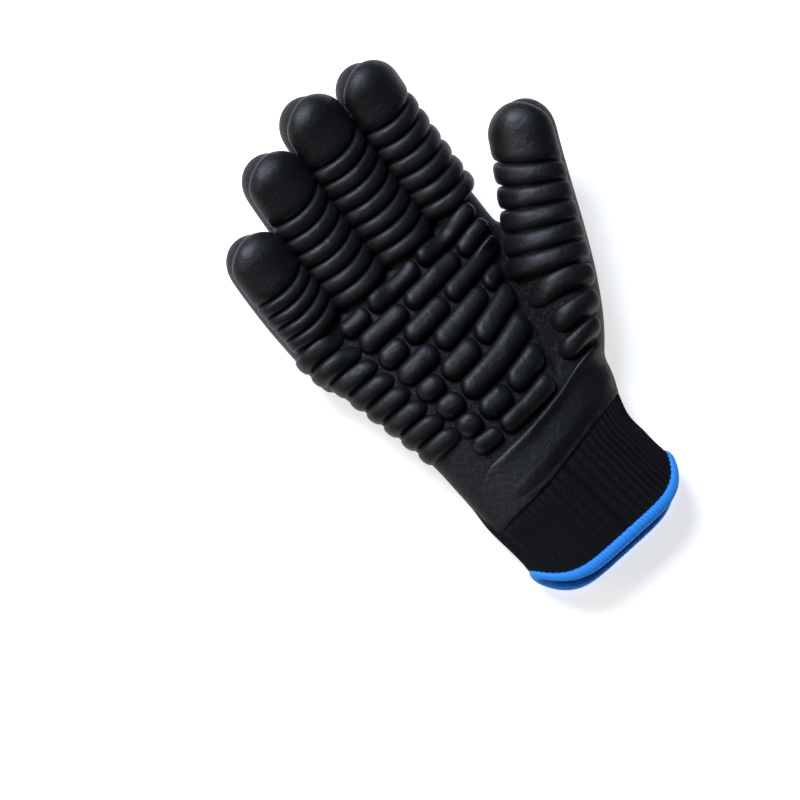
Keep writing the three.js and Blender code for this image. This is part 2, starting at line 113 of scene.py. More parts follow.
# matt white paper, lit a little from itself so that it stays pale under the glove
paper, tree = new_material("white_paper")
finish_material(tree, add_node(tree, "ShaderNodeBsdfPrincipled", {
    "Base Color": srgb("#e9e9e9"), "Roughness": 0.9, "Specular IOR Level": 0.1,
    "Emission Color": srgb("#ffffff"), "Emission Strength": 0.7,
}))
floor.data.materials.append(paper)


def soft_box(name, place, size, power, colour):
    bpy.ops.object.light_add(type="AREA", location=place)
    lamp = bpy.context.object
    lamp.name = name
    lamp.data.shape = "RECTANGLE"
    lamp.data.size, lamp.data.size_y = size
    lamp.data.energy = power
    lamp.data.color = srgb(colour)[:3]
    lamp.rotation_euler = (-Vector(place)).to_track_quat("-Z", "Y").to_euler()


soft_box("key_box", (-0.12, 0.78, 1.05), (0.6, 0.6), 19, "#deeaff")
soft_box("side_box", (-1.0, 0.45, 0.9), (0.4, 0.4), 3, "#ffdcc0")

world = bpy.data.worlds.new("studio")
world.use_nodes = True
world.node_tree.nodes["Background"].inputs["Color"].default_value = (1, 1, 1, 1)
world.node_tree.nodes["Background"].inputs["Strength"].default_value = 0.05
bpy.context.scene.world = world
bpy.context.scene.view_settings.view_transform = "Standard"


# ---- Rubber coat
# Foamed chloroprene that the knitted liner was dipped and moulded in: a skin with a satin
# gloss over five digits and the palm, hollow for the hand, creased where the palm folds.
FINGER_WIDE, FINGER_DEEP, FINGER_REACH = 29.0, 26.0, 90.0
FINGER_SLOT, FINGER_ROOT = 0.9, 24.0
THUMB_WIDE, THUMB_DEEP, THUMB_REACH = 30.5, 27.0, 134.0
PALM_REACH, PALM_DEEP, PALM_WIDE = 114.0, 30.0, 115.22
CUFF_WIDE, CUFF_DEEP, CUFF_REACH, CUFF_BOW = 83.0, 25.0, 47.5, 16.0
TIP_SHARE = 0.52
DIGIT_SQUARE, CUFF_SQUARE, PALM_SQUARE = 2.15, 2.5, 2.7
FLOOR_PRESS = 1.0
PALM_DROP = 2.0
COAT_WALL = 2.7
COAT_PITCH, HOLLOW_PITCH, COAT_REMESH = 1.3, 2.4, 1.25
INSIDE_FROM = 0.0019
HAND_SHIFT = Vector((-26.19, -72.42, 0))

# width, depth and reach as shares of the middle finger's, angles in degrees
FINGERS = (
    ("little", 0.95, 0.93, 0.61, -4, 5, 7, 26, 4),
    ("ring", 0.97, 0.97, 0.89, -1, 4, 5, 30, 6),
    ("middle", 1.0, 1.0, 1.0, 2, 3, 5, 30, 7),
    ("index", 0.96, 0.98, 0.96, 4, 4, 5, 30, 6),
)
# how far the ribs tilt at a finger's root and at its tip
FINGER_SKEW = (-8, -19)
FINGER_GIRTH = tuple(enumerate((1, 1, 1, 0.98, 0.95)))
THUMB_GIRTH = tuple(enumerate((0.86, 1.13, 1.2, 1.14, 1.03, 0.94, 0.91)))
# along, width, depth of the cuff, and along, left, right, depth of the palm
CUFF_ROWS = ((1.13, 1.02, 1), (1, 1.01, 1), (0.82, 0.985, 1), (0.5, 0.985, 1), (0.15, 1, 1.02))
PALM_ROWS = (
    (0.12, -0.355, 0.44, 0.9),
    (0.3, -0.355, 0.46, 0.97),
    (0.46, -0.377, 0.45, 1),
    (0.62, -0.402, 0.43, 1),
    (0.78, -0.428, 0.45, 0.99),
    (0.9, -0.452, 0.49, 0.96),
    (0.97, -0.458, 0.515, 0.87),
    (1.0, -0.455, 0.51, 0.62),
)
# across and along, in shares of the palm: where the coat ends on the palm and on the back
HEEL_EDGE = ((-0.7, -0.1), (-0.15, -0.097), (0.11, -0.056), (0.35, 0), (0.5, 0.045), (0.7, 0.06))
BACK_EDGE = ((-0.7, 0.66), (0.1, 0.63), (0.3, 0.55), (0.38, 0.36), (0.4, 0.1), (0.42, -0.3))
COAT_EDGE_HIGH = 0.42


def metres(point):
    return (point + HAND_SHIFT) * MM


def ease(value, low, high):
    t = min(1.0, max(0.0, (value - low) / (high - low)))
    return t * t * (3 - 2 * t)


def along_table(rows, at):
    """Reads every column of a table at a place in its first one, on smooth curves."""
    keys = [row[0] for row in rows]
    at = min(max(at, keys[0]), keys[-1])
    i = min(max(bisect.bisect_right(keys, at) - 1, 0), len(rows) - 2)
    span = keys[i + 1] - keys[i]
    t = (at - keys[i]) / span
    read = []
    for column in range(1, len(rows[0])):
        a, b = rows[i][column], rows[i + 1][column]
        before = b - a
        if i > 0:
            before = (b - rows[i - 1][column]) * span / (keys[i + 1] - keys[i - 1])
        last = i + 2 >= len(rows)
        after = (b - a) if last else (rows[i + 2][column] - a) * span / (keys[i + 2] - keys[i])
        t2, t3 = t * t, t * t * t
        read.append(
            a * (2 * t3 - 3 * t2 + 1) + b * (3 * t2 - 2 * t3)
            + before * (t3 - 2 * t2 + t) + after * (t3 - t2)
        )
    return read


def direction(plan, rise):
    p, r = math.radians(plan), math.radians(rise)
    return Vector((math.sin(p) * math.cos(r), math.cos(p) * math.cos(r), math.sin(r)))


def oval(angle, half_wide, half_deep, square):
    c, s = math.cos(angle), math.sin(angle)
    power = 2 / square
    return (
        math.copysign(half_wide * abs(c) ** power, c),
        math.copysign(half_deep * abs(s) ** power, s),
    )


class Digit:
    """A digit's middle line, a quadratic curve, with its widths along it."""

    def __init__(self, name, root, reach, first, last, wide, deep, girth,
                 roll=0.0, skew=(0, 0), ribs=5):
        self.name, self.reach, self.wide, self.deep = name, reach, wide, deep
        self.girth, self.roll, self.skew, self.ribs = girth, roll, skew, ribs
        bend = root + first * reach / 2
        self.points = (root, bend, bend + last * reach / 2)
        self.steps = [(0.0, 0.0)]
        for i in range(1, 201):
            gap = (self.curve(i / 200) - self.curve((i - 1) / 200)).length
            self.steps.append((self.steps[-1][0] + gap, i / 200))

    def curve(self, t):
        a, b, c = self.points
        return a * (1 - t) ** 2 + b * 2 * t * (1 - t) + c * t * t

    def frame(self, distance):
        a, b, c = self.points
        share = min(1.0, max(0.0, distance / self.reach))
        length = share * self.steps[-1][0]
        i = min(max(bisect.bisect_right(self.steps, (length, 2.0)), 1), 200)
        (l0, t0), (l1, t1) = self.steps[i - 1], self.steps[i]
        t = t0 + (t1 - t0) * (length - l0) / (l1 - l0)
        ahead = ((b - a) * (1 - t) + (c - b) * t).normalized()
        centre = self.curve(t) + ahead * (distance - share * self.reach)
        side = Vector((ahead.y, -ahead.x, 0)).normalized()
        upward = side.cross(ahead)
        roll = math.radians(self.roll) * share
        turned = side * math.cos(roll) + ahead.cross(side) * math.sin(roll)
        return centre, ahead, turned, upward * math.cos(roll) + ahead.cross(upward) * math.sin(roll)

    def halves(self, distance, grow):
        tip = self.wide * TIP_SHARE
        into = max(0.0, (distance - (self.reach - tip)) / (tip + grow))
        dome = math.sqrt(max(0.0, 1 - into * into))
        girth = along_table(self.girth, distance / self.reach * (len(self.girth) - 1))[0]
        return (self.wide / 2 * girth + grow) * dome, (self.deep / 2 * girth + grow) * dome


def rolled(name, along, around, place):
    """A grid that is rolled into a tube: place(u, v) says where each of its points goes."""
    bpy.ops.object.select_all(action="DESELECT")
    bpy.ops.mesh.primitive_grid_add(x_subdivisions=along, y_subdivisions=around, size=1)
    piece = bpy.context.object
    piece.name = piece.data.name = name
    for vertex in piece.data.vertices:
        vertex.co = metres(place(vertex.co.x + 0.5, vertex.co.y + 0.5))
    shape = bmesh.new()
    shape.from_mesh(piece.data)
    bmesh.ops.remove_doubles(shape, verts=shape.verts, dist=0.00002)
    bmesh.ops.recalc_face_normals(shape, faces=shape.faces)
    shape.to_mesh(piece.data)
    shape.free()
    return piece


def make_digits():
    left = -0.472 * PALM_WIDE
    made = []
    for name, wide, deep, reach, fan, turn, rise, curl, ribs in FINGERS:
        wide *= FINGER_WIDE
        root = Vector((left + wide / 2, PALM_REACH - FINGER_ROOT, PALM_DEEP / 2))
        root.x -= FINGER_ROOT * math.tan(math.radians(fan))
        left += wide + FINGER_SLOT
        made.append(Digit(
            name, root, reach * FINGER_REACH + FINGER_ROOT,
            direction(fan, rise), direction(turn, curl),
            wide, deep * FINGER_DEEP, FINGER_GIRTH, skew=FINGER_SKEW, ribs=ribs,
        ))
    root = Vector((0.302 * PALM_WIDE, 0.17 * PALM_REACH, 0.47 * PALM_DEEP))
    made.append(Digit(
        "thumb", root, THUMB_REACH, direction(34, 3), direction(28, 22),
        THUMB_WIDE, THUMB_DEEP, THUMB_GIRTH, roll=-16, skew=(-25, 27), ribs=5,
    ))
    return made


def make_web():
    """The fold of rubber between the index finger's root and the thumb."""
    along = direction(24, 4)
    return Digit("web", Vector((45, 64, 15.5)), 37, along, along, 19, 15, FINGER_GIRTH)


# y, left, right, depth, height, bow, squareness of the hand's body from the hem to the webs
BODY_ROWS = [
    (-along * CUFF_REACH, -wide * CUFF_WIDE / 2, wide * CUFF_WIDE / 2, deep * CUFF_DEEP,
     -FLOOR_PRESS, CUFF_BOW * along ** 2, CUFF_SQUARE)
    for along, wide, deep in CUFF_ROWS
] + [
    (along * PALM_REACH, left * PALM_WIDE, wide * PALM_WIDE, deep * PALM_DEEP,
     max(0, (1 - deep) * PALM_DEEP / 2 - PALM_DROP) - FLOOR_PRESS, 0, PALM_SQUARE)
    for along, left, wide, deep in PALM_ROWS
]


def body_point(y, angle, grow):
    left, wide, deep, high, bow, square = along_table(BODY_ROWS, y)
    x, z = oval(angle, (wide - left) / 2 + grow, deep / 2 + grow, square)
    lift = max(high + deep / 2 + z, -grow)
    return Vector(((left + wide) / 2 + x, y + bow * math.cos(angle) ** 4, lift))


def modify(piece, kind, **settings):
    """Adds a modifier with its settings and applies it."""
    bpy.ops.object.select_all(action="DESELECT")
    bpy.context.view_layer.objects.active = piece
    piece.select_set(True)
    modifier = piece.modifiers.new(kind.lower(), kind)
    for name, value in settings.items():
        setattr(modifier, name, value)
    bpy.ops.object.modifier_apply(modifier=modifier.name)


def hand_form(name, grow, pitch):
    """The whole hand as one body: digits and palm joined, remeshed and smoothed."""
    parts = []
    for digit in digits + [make_web()]:
        def on_digit(u, v, digit=digit):
            distance = -2 + (digit.reach + grow + 2) * math.sin(u * math.pi / 2)
            centre, _, side, upward = digit.frame(distance)
            x, z = oval(2 * math.pi * v, *digit.halves(distance, grow), DIGIT_SQUARE)
            if u <= 0:
                x = z = 0
            point = centre + side * x + upward * z
            point.z = max(point.z, -grow)
            return point
        parts.append(rolled("digit_form", 90, 48, on_digit))

    def on_body(u, v):
        share = min(1, max(0, (u - 0.02) / 0.96))
        y = BODY_ROWS[0][0] + (BODY_ROWS[-1][0] - BODY_ROWS[0][0]) * share
        point = body_point(y, 2 * math.pi * v, grow)
        if u <= 0 or u >= 1:
            middle = body_point(y, math.pi / 2, grow)
            point = Vector((middle.x, y, PALM_DEEP * 0.4))
        return point
    parts.append(rolled("body_form", 100, 96, on_body))
    for part in parts:
        part.select_set(True)
    bpy.context.view_layer.objects.active = parts[-1]
    bpy.ops.object.join()
    form = bpy.context.object
    form.name = name
    modify(form, "REMESH", mode="VOXEL", voxel_size=pitch * MM)
    modify(form, "SMOOTH", factor=0.5, iterations=int(22 / pitch ** 2))
    return form


def curve_through(rows):
    return lambda across: along_table(rows, across / PALM_WIDE)[0] * PALM_REACH


heel_edge = curve_through(HEEL_EDGE)


def back_edge_points():
    points = []
    for i in range(41):
        place = i / 40 * (len(BACK_EDGE) - 1)
        step = min(int(place), len(BACK_EDGE) - 2)
        part = place - step
        rows = [BACK_EDGE[min(max(step + k, 0), len(BACK_EDGE) - 1)] for k in (-1, 0, 1, 2)]
        point = [
            0.5 * (2 * b + (c - a) * part + (2 * a - 5 * b + 4 * c - d) * part ** 2
                   + (3 * b - a - 3 * c + d) * part ** 3)
            for a, b, c, d in zip(*rows)
        ]
        points.append((point[0] * PALM_WIDE, point[1] * PALM_REACH))
    return points


def prism(name, outline, low, high):
    shape = bmesh.new()
    face = shape.faces.new([shape.verts.new(metres(Vector((x, y, low)))) for x, y in outline])
    raised = bmesh.ops.extrude_face_region(shape, geom=[face])["geom"]
    lift = Vector((0, 0, (high - low) * MM))
    lifted = [v for v in raised if isinstance(v, bmesh.types.BMVert)]
    bmesh.ops.translate(shape, verts=lifted, vec=lift)
    bmesh.ops.recalc_face_normals(shape, faces=shape.faces)
    mesh = bpy.data.meshes.new(name)
    shape.to_mesh(mesh)
    shape.free()
    piece = bpy.data.objects.new(name, mesh)
    bpy.context.collection.objects.link(piece)
    return piece


def cut(piece, tool):
    modify(piece, "BOOLEAN", operation="DIFFERENCE", object=tool, solver="MANIFOLD")
    bpy.data.objects.remove(tool)


def skin_of(piece):
    return BVHTree.FromPolygons(
        [v.co for v in piece.data.vertices], [p.vertices for p in piece.data.polygons]
    )


digits = make_digits()
coat = hand_form("rubber_coat", 0.0, COAT_PITCH)
outer_skin = skin_of(coat)
hollow = hand_form("hollow", -COAT_WALL, HOLLOW_PITCH)
cut(coat, hollow)
FAR = 2.2 * CUFF_REACH
heel_line = [(x, heel_edge(x)) for x in range(-80, 81, 4)]
cut(coat, prism("heel_cut", [(80, -FAR)] + heel_line[::-1] + [(-80, -FAR)], -60, 60))
back_line = back_edge_points()
cut(coat, prism("back_cut", [(-82, -FAR)] + back_line + [(back_line[-1][0], -FAR)],
                -60, COAT_EDGE_HIGH * PALM_DEEP))
modify(coat, "REMESH", mode="VOXEL", voxel_size=COAT_REMESH * MM)
modify(coat, "SMOOTH", factor=0.5, iterations=3)

# Folds of the palm, in hand millimetres, with their depth and half width
FOLDS = (
    ([(44, 73), (38.7, 65.8), (36, 53), (34, 42), (31.5, 33), (28.7, 25)], 1.1, 1.6),
    ([(47.5, 71), (42, 64), (39.5, 53), (37.5, 43), (35, 34)], 0.9, 1.4),
    ([(50, 66), (44, 57), (42, 48)], 0.7, 1.3),
)


def fold_depth(x, y):
    depth = 0.0
    for line, deep, half in FOLDS:
        for (ax, ay), (bx, by) in zip(line, line[1:]):
            dx, dy = bx - ax, by - ay
            t = min(1, max(0, ((x - ax) * dx + (y - ay) * dy) / (dx * dx + dy * dy)))
            far = math.hypot(x - ax - dx * t, y - ay - dy * t)
            depth = max(depth, deep * math.exp(-(far / half) ** 2))
    return depth


def press_folds(piece):
    """Presses the folds in and marks where the skin is puckered, for its material."""
    moved, puckers = [], []
    for vertex in piece.data.vertices:
        spot = vertex.co.copy()
        place = spot / MM - HAND_SHIFT
        pucker = 0.12
        if place.z > 12 and 15 < place.x < 62 and 12 < place.y < 95 and vertex.normal.z > 0.1:
            wander = noise.noise(place * 0.09) * 2
            spot.z -= fold_depth(place.x + wander, place.y) * MM
            crease = place.x - 40 - 0.12 * (place.y - 45)
            ends = ease(place.y, 14, 28) * (1 - ease(place.y, 78, 92))
            pucker += 0.75 * math.exp(-(crease / 8) ** 2) * ends
        elif place.z > 12 and 10 < place.y < 95:
            pucker += 0.18
        moved.extend(spot)
        puckers.append(pucker)
    piece.data.vertices.foreach_set("co", moved)
    piece.data.attributes.new("pucker", "FLOAT", "POINT").data.foreach_set("value", puckers)
    piece.data.update()


press_folds(coat)


def math_node(tree, operation, a, b):
    """A number, or a socket, on each side of a sum."""
    values = {i: v for i, v in enumerate((a, b)) if isinstance(v, float)}
    links = {i: v for i, v in enumerate((a, b)) if not isinstance(v, float)}
    return add_node(tree, "ShaderNodeMath", {"operation": operation, **values}, links).outputs[0]


def chloroprene(name, dark, light, gloss):
    """Moulded chloroprene foam: a satin skin, bluish where it catches the light, with soft
    dents, a fine dull grain from the mould, and puckers where the skin was gathered."""
    material, tree = new_material(name)
    where = add_node(tree, "ShaderNodeTexCoord").outputs["Object"]
    pucker = add_node(tree, "ShaderNodeAttribute", {"attribute_name": "pucker"}).outputs["Fac"]
    patches = add_node(tree, "ShaderNodeTexNoise", {"Scale": 70.0, "Detail": 4.0},
                       {"Vector": where})
    colour = add_node(tree, "ShaderNodeMix", {"data_type": "RGBA", 6: srgb(dark), 7: srgb(light)},
                      {0: patches.outputs["Fac"]})
    wear = add_node(tree, "ShaderNodeMapRange", {3: gloss - 0.08, 4: gloss + 0.12},
                    {0: patches.outputs["Fac"]})
    # dents about 5 mm across, puckers 2 mm, grain 0.5 mm
    dents = add_node(tree, "ShaderNodeTexNoise",
                     {"Scale": 190.0, "Detail": 3.0, "Roughness": 0.55, "Distortion": 0.6},
                     {"Vector": where})
    gathers = add_node(tree, "ShaderNodeTexNoise",
                       {"Scale": 420.0, "Detail": 3.0, "Roughness": 0.6, "Distortion": 1.4},
                       {"Vector": where})
    centred = math_node(tree, "SUBTRACT", gathers.outputs["Fac"], 0.5)
    ridged = math_node(tree, "ABSOLUTE", centred, 0.0)
    gathered = math_node(tree, "MULTIPLY", math_node(tree, "MULTIPLY", ridged, -4.0), pucker)
    grain = add_node(tree, "ShaderNodeTexNoise", {"Scale": 1800.0, "Detail": 2.0},
                     {"Vector": where})
    soft = add_node(tree, "ShaderNodeBump", {"Strength": 0.3, "Distance": 0.0012},
                    {"Height": dents.outputs["Fac"]})
    folds = add_node(tree, "ShaderNodeBump", {"Strength": 1.0, "Distance": 0.0011},
                     {"Height": gathered, "Normal": soft.outputs[0]})
    fine = add_node(tree, "ShaderNodeBump", {"Strength": 0.22, "Distance": 0.00025},
                    {"Height": grain.outputs["Fac"], "Normal": folds.outputs[0]})
    shader = add_node(tree, "ShaderNodeBsdfPrincipled",
                      {"Specular IOR Level": 0.38, "IOR": 1.5},
                      {"Base Color": colour.outputs[2], "Roughness": wear.outputs[0],
                       "Normal": fine.outputs[0]})
    finish_material(tree, shader)
    return material


coat_rubber = chloroprene("dipped_chloroprene", "#050709", "#0f1215", 0.56)
# the knit inside the coat: dull black, without any gloss
lining, tree = new_material("lining_knit")
finish_material(tree, add_node(tree, "ShaderNodeBsdfPrincipled", {
    "Base Color": srgb("#0b0d10"), "Roughness": 0.95,
}))
coat.data.materials.clear()
coat.data.materials.append(coat_rubber)
coat.data.materials.append(lining)
for face in coat.data.polygons:
    face.use_smooth = True
    if outer_skin.find_nearest(face.center)[3] > INSIDE_FROM:
        face.material_index = 1
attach(coat, "root")
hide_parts("rubber_shell")


# ---- Finger and thumb pads
# A strip of air-cushion ribs moulded over each digit, in arcs that sag towards the palm,
# with a smooth dome over the fingertip; the strip's thin border lies on the coat.
RIB_RISE, RIB_WEB, STRIP_SINK = 4.8, 0.7, 1.3
RIB_SAG, THUMB_RIB_SAG = 5.6, 3.4
BAR_GROOVE, PAD_CLOSER = 2.2, 0.6
DOME_SHARE = 0.98
THUMB_PAD_FROM = 0.385
RIB_STEPS, DOME_STEPS, STRIP_ROUND = 14, 44, 110
# The strip's middle as an angle round the digit from its right side, and half its arc
FINGER_STRIP = (76.0, 76.0)
THUMB_STRIP = (108.0, 74.0)
GROOVE_STATIONS = (-0.38, -0.035, 0.361)
ROW_GROOVES = (
    (0.93, 0.94, 0.972),
    (0.835, 0.85, 0.89),
    (0.735, 0.753, 0.806),
    (0.635, 0.652, 0.724),
    (0.55, 0.545, 0.65),
    (0.465, 0.438, 0.55),
    (0.37, 0.33, 0.43),
    (0.27, 0.224, 0.31),
    (0.185, 0.142, 0.193),
)


def groove_y(row, x):
    share = x / PALM_WIDE
    total = 0.0
    for i, at in enumerate(GROOVE_STATIONS):
        weight = 1.0
        for other in GROOVE_STATIONS[:i] + GROOVE_STATIONS[i + 1:]:
            weight *= (share - other) / (at - other)
        total += weight * ROW_GROOVES[row][i]
    return total * PALM_REACH


def pillow(t, power=2.6):
    return (1 - abs(2 * t - 1) ** power) ** (1 / power)


def strip_rows(digit):
    """Places along the digit: its distance, the rib's share there, and the dome's share."""
    dome = digit.wide * DOME_SHARE
    dome_from = digit.reach - dome
    pitch = (dome_from - digit.pad_from) / digit.ribs
    rows = [(digit.pad_from - pitch * 0.14, None, None), (digit.pad_from - pitch * 0.06, 0.0, None)]
    for i in range(digit.ribs * RIB_STEPS):
        rows.append((digit.pad_from + pitch * i / RIB_STEPS, i % RIB_STEPS / RIB_STEPS, None))
    for i in range(DOME_STEPS):
        t = i / (DOME_STEPS - 1)
        rows.append((dome_from + dome * t * 0.985, None, t))
    return rows


def strip_height(rib, dome, off):
    """Height of the strip over the coat; off is 0 on its middle line and 1 on its border."""
    if rib is None and dome is None:
        return -STRIP_SINK
    edge = 1 - ease(off, 1.0, 1.09)
    if dome is None:
        swell = pillow(rib) * max(0.0, 1 - off ** 5) ** 0.5
    else:
        far = math.hypot(off, max(0.0, dome - 0.42) / 0.5)
        swell = max(0.0, 1 - far ** 3) ** 0.45 * pillow(min(0.5, dome / 0.4))
        edge = 1 - ease(far, 1.0, 1.07)
    return (RIB_WEB + (RIB_RISE - RIB_WEB) * swell) * edge - STRIP_SINK * (1 - edge)


def pad_strip(digit):
    is_thumb = digit.name == "thumb"
    middle, half_arc = THUMB_STRIP if is_thumb else FINGER_STRIP
    deepest = THUMB_RIB_SAG if is_thumb else RIB_SAG
    if is_thumb:
        digit.pad_from = THUMB_PAD_FROM * digit.reach
    else:
        root = digit.points[0]
        lean = (digit.points[1] - root).x / (digit.points[1] - root).y
        palm_end = groove_y(0, root.x + FINGER_ROOT * lean)
        digit.pad_from = palm_end - root.y + RIB_SAG + 1.5 * BAR_GROOVE - PAD_CLOSER
    rows = strip_rows(digit)
    last = len(rows) + 1

    def on_coat(distance, angle):
        ribbed = 1 - ease(distance, digit.reach - digit.wide, digit.reach - digit.wide / 3)
        x, _ = oval(angle, digit.wide / 2, digit.deep / 2, DIGIT_SQUARE)
        skew = digit.skew[0] + (digit.skew[1] - digit.skew[0]) * distance / digit.reach
        sag = deepest * max(0, math.cos(angle - math.radians(middle))) ** 2
        distance -= (sag + x * math.tan(math.radians(skew))) * ribbed
        centre, _, side, upward = digit.frame(distance)
        x, z = oval(angle, *digit.halves(distance, 0.0), DIGIT_SQUARE)
        return centre + side * x + upward * z

    def on_strip(u, v):
        i = round(u * last)
        distance, rib, dome = rows[min(max(i - 1, 0), len(rows) - 1)]
        if i == 0 or i == last:
            return digit.frame(distance)[0]
        angle = 2 * math.pi * v
        away = abs((math.degrees(angle) - middle + 180) % 360 - 180) / half_arc
        spot = on_coat(distance, angle)
        ahead = on_coat(distance + 0.2, angle) - on_coat(distance - 0.2, angle)
        round_it = on_coat(distance, angle + 0.02) - on_coat(distance, angle - 0.02)
        outward = ahead.cross(round_it)
        if outward.length < 1e-9:
            return spot
        outward.normalize()
        if outward.dot(spot - digit.frame(distance)[0]) < 0:
            outward.negate()
        uneven = 1 + 0.09 * noise.noise(spot * 0.11) if dome is None else 1
        return spot + outward * strip_height(rib, dome, away) * uneven

    return rolled("pad_" + digit.name + "_skin", last, STRIP_ROUND, on_strip)


pad_rubber = chloroprene("moulded_chloroprene", "#06080a", "#111418", 0.46)
for digit in digits:
    strip = pad_strip(digit)
    strip.data.materials.append(pad_rubber)
    strip.data.polygons.foreach_set("use_smooth", [True] * len(strip.data.polygons))
    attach(strip, "root")
    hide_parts("pad_" + digit.name)


# ---- Palm bars
# Air-cushion bars in eight curved rows over the palm, three on the ball of the thumb and
# eight ribs round the palm's outer edge, all moulded in one with the coat.
BAR_RISE, EDGE_RISE, BAR_SINK = 5.2, 4.2, 1.4
BAR_FULL, BAR_BLUNT, BAR_CUTS, BAR_GAP = 2.5, 0.92, 13, 0.8
EDGE_REACH, EDGE_SLOPE, EDGE_FOOT = (18.0, 14.5), 0.12, 0.45
EDGE_ROWS, EDGE_COUNT, EDGE_GROOVE, EDGE_START, EDGE_CLEAR = 7, 8, 0.8, 2.2, 0.6
BAR_ROWS = (
    ((-0.14, 0.131), 0.455),
    ((-0.0235, 0.2825), 0.455),
    ((-0.12, 0.1165), 0.435),
    ((-0.049, 0.261), 0.37),
    ((-0.114, 0.084), 0.342),
    ((-0.106,), 0.293),
    ((-0.109, 0.048), 0.246),
    ((-0.088,), 0.195),
)
THUMB_BARS = (
    ((0.361, 0.495), (0.61, 0.405), 0.104, 0.078),
    ((0.342, 0.352), (0.565, 0.326), 0.1, 0.078),
    ((0.3, 0.248), (0.497, 0.25), 0.084, 0.064),
)
DOWN = Vector((0, 0, -1))
RAY_START = 0.2
THUMB_LOOK = Vector((-0.42, 0, -1)).normalized()


def landing(point, look):
    start = metres(point) - look * RAY_START
    hit = outer_skin.ray_cast(start, look)[0]
    return point if hit is None else hit / MM - HAND_SHIFT


def bar_cushion(name, shape, rise, look):
    """A capsule bent over the coat: a cube, subdivided and rounded, laid along shape(u, v)."""
    bpy.ops.object.select_all(action="DESELECT")
    bpy.ops.mesh.primitive_cube_add(size=2)
    piece = bpy.context.object
    piece.name = piece.data.name = name
    bpy.ops.object.mode_set(mode="EDIT")
    bpy.ops.mesh.select_all(action="SELECT")
    bpy.ops.mesh.subdivide(number_cuts=BAR_CUTS)
    bpy.ops.object.mode_set(mode="OBJECT")
    length = (shape(1, 0.5) - shape(0, 0.5)).length
    width = (shape(0.5, 1) - shape(0.5, 0)).length
    cap = min(0.5, BAR_BLUNT * width / 2 / length)
    moved = []
    for vertex in piece.data.vertices:
        x, y, z = vertex.co
        turn = math.atan2(z, y)
        out = 1.0
        if abs(x) > 0.999:
            out = math.sin(max(abs(y), abs(z)) * math.pi / 2)
        depth = math.copysign(math.sqrt(max(0.0, 1 - out * out)), x)
        ball_y, ball_z = out * math.cos(turn), out * math.sin(turn)
        # fuller than a ball, so that the bar stands up with steep sides like a pillow
        flat = math.hypot(depth, ball_y)
        full = (1 - abs(ball_z) ** BAR_FULL) ** (1 / BAR_FULL) / flat if flat > 1e-6 else 1
        u = 0.5 + (0.5 - cap) * x + cap * depth * full
        v = 0.5 + 0.5 * ball_y * full
        base = landing(shape(u, v), look)
        uneven = 1 + 0.07 * noise.noise(base * 0.13 + Vector((length, width, 0)))
        moved.extend(metres(base - look * (ball_z * (rise * uneven if ball_z > 0 else BAR_SINK))))
    piece.data.vertices.foreach_set("co", moved)
    piece.data.update()
    return piece


def flat_patch(corners):
    foot_left, foot_right, top_right, top_left = corners
    return lambda u, v: foot_left.lerp(foot_right, u).lerp(top_left.lerp(top_right, u), v)


def palm_left(y):
    return along_table(BODY_ROWS, y)[0]


def edge_reach(share):
    return EDGE_REACH[0] + (EDGE_REACH[1] - EDGE_REACH[0]) * share


def finish_bar(piece, node):
    piece.data.materials.append(pad_rubber)
    piece.data.polygons.foreach_set("use_smooth", [True] * len(piece.data.polygons))
    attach(piece, "root")
    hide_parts(node)


ulnar = GROOVE_STATIONS[0] * PALM_WIDE
for row, (splits, row_end) in enumerate(BAR_ROWS):
    middle = (groove_y(row, ulnar) + groove_y(row + 1, ulnar)) / 2
    cuts = [palm_left(middle) + edge_reach(row / (len(BAR_ROWS) - 1)) + EDGE_CLEAR]
    cuts += [share * PALM_WIDE for share in splits] + [row_end * PALM_WIDE + BAR_GROOVE / 2]
    for i, (start, end) in enumerate(zip(cuts, cuts[1:])):
        def on_row(u, v):
            x = start + BAR_GAP / 2 + (end - start - BAR_GAP) * u
            foot, top = groove_y(row + 1, x) + BAR_GAP / 2, groove_y(row, x) - BAR_GAP / 2
            return Vector((x, foot + (top - foot) * v, 0))
        node = f"bar_{row + 1}_{i + 1}"
        finish_bar(bar_cushion(node + "_skin", on_row, BAR_RISE, DOWN), node)

for i, (left, far, inner, outer) in enumerate(THUMB_BARS):
    a = Vector((left[0] * PALM_WIDE, left[1] * PALM_REACH, PALM_DEEP))
    b = Vector((far[0] * PALM_WIDE, far[1] * PALM_REACH, PALM_DEEP))
    square = Vector((a.y - b.y, b.x - a.x, 0)).normalized() * PALM_REACH / 2
    patch = flat_patch((
        a - square * inner, b - square * outer, b + square * outer, a + square * inner,
    ))
    node = f"thumb_bar_{i + 1}"
    finish_bar(bar_cushion(node + "_skin", patch, BAR_RISE, THUMB_LOOK), node)

EDGE_LOOK = Vector((1, 0, -1)).normalized()
first_y, last_y = groove_y(0, ulnar) + EDGE_START, groove_y(EDGE_ROWS, ulnar)
pitch = (first_y - last_y) / EDGE_COUNT
low, high = PALM_DEEP * EDGE_FOOT, PALM_DEEP - FLOOR_PRESS


def edge_corner(y, inward, height):
    return Vector((palm_left(y) + inward, y - inward * EDGE_SLOPE, height))


for i in range(EDGE_COUNT):
    top = first_y - i * pitch - EDGE_GROOVE / 2
    foot = top - pitch + EDGE_GROOVE
    reach = edge_reach(i / EDGE_COUNT)
    patch = flat_patch((
        edge_corner(foot, 0, low), edge_corner(foot, reach, high),
        edge_corner(top, reach, high), edge_corner(top, 0, low),
    ))
    node = f"edge_rib_{i + 1}"
    finish_bar(bar_cushion(node + "_skin", patch, EDGE_RISE, EDGE_LOOK), node)


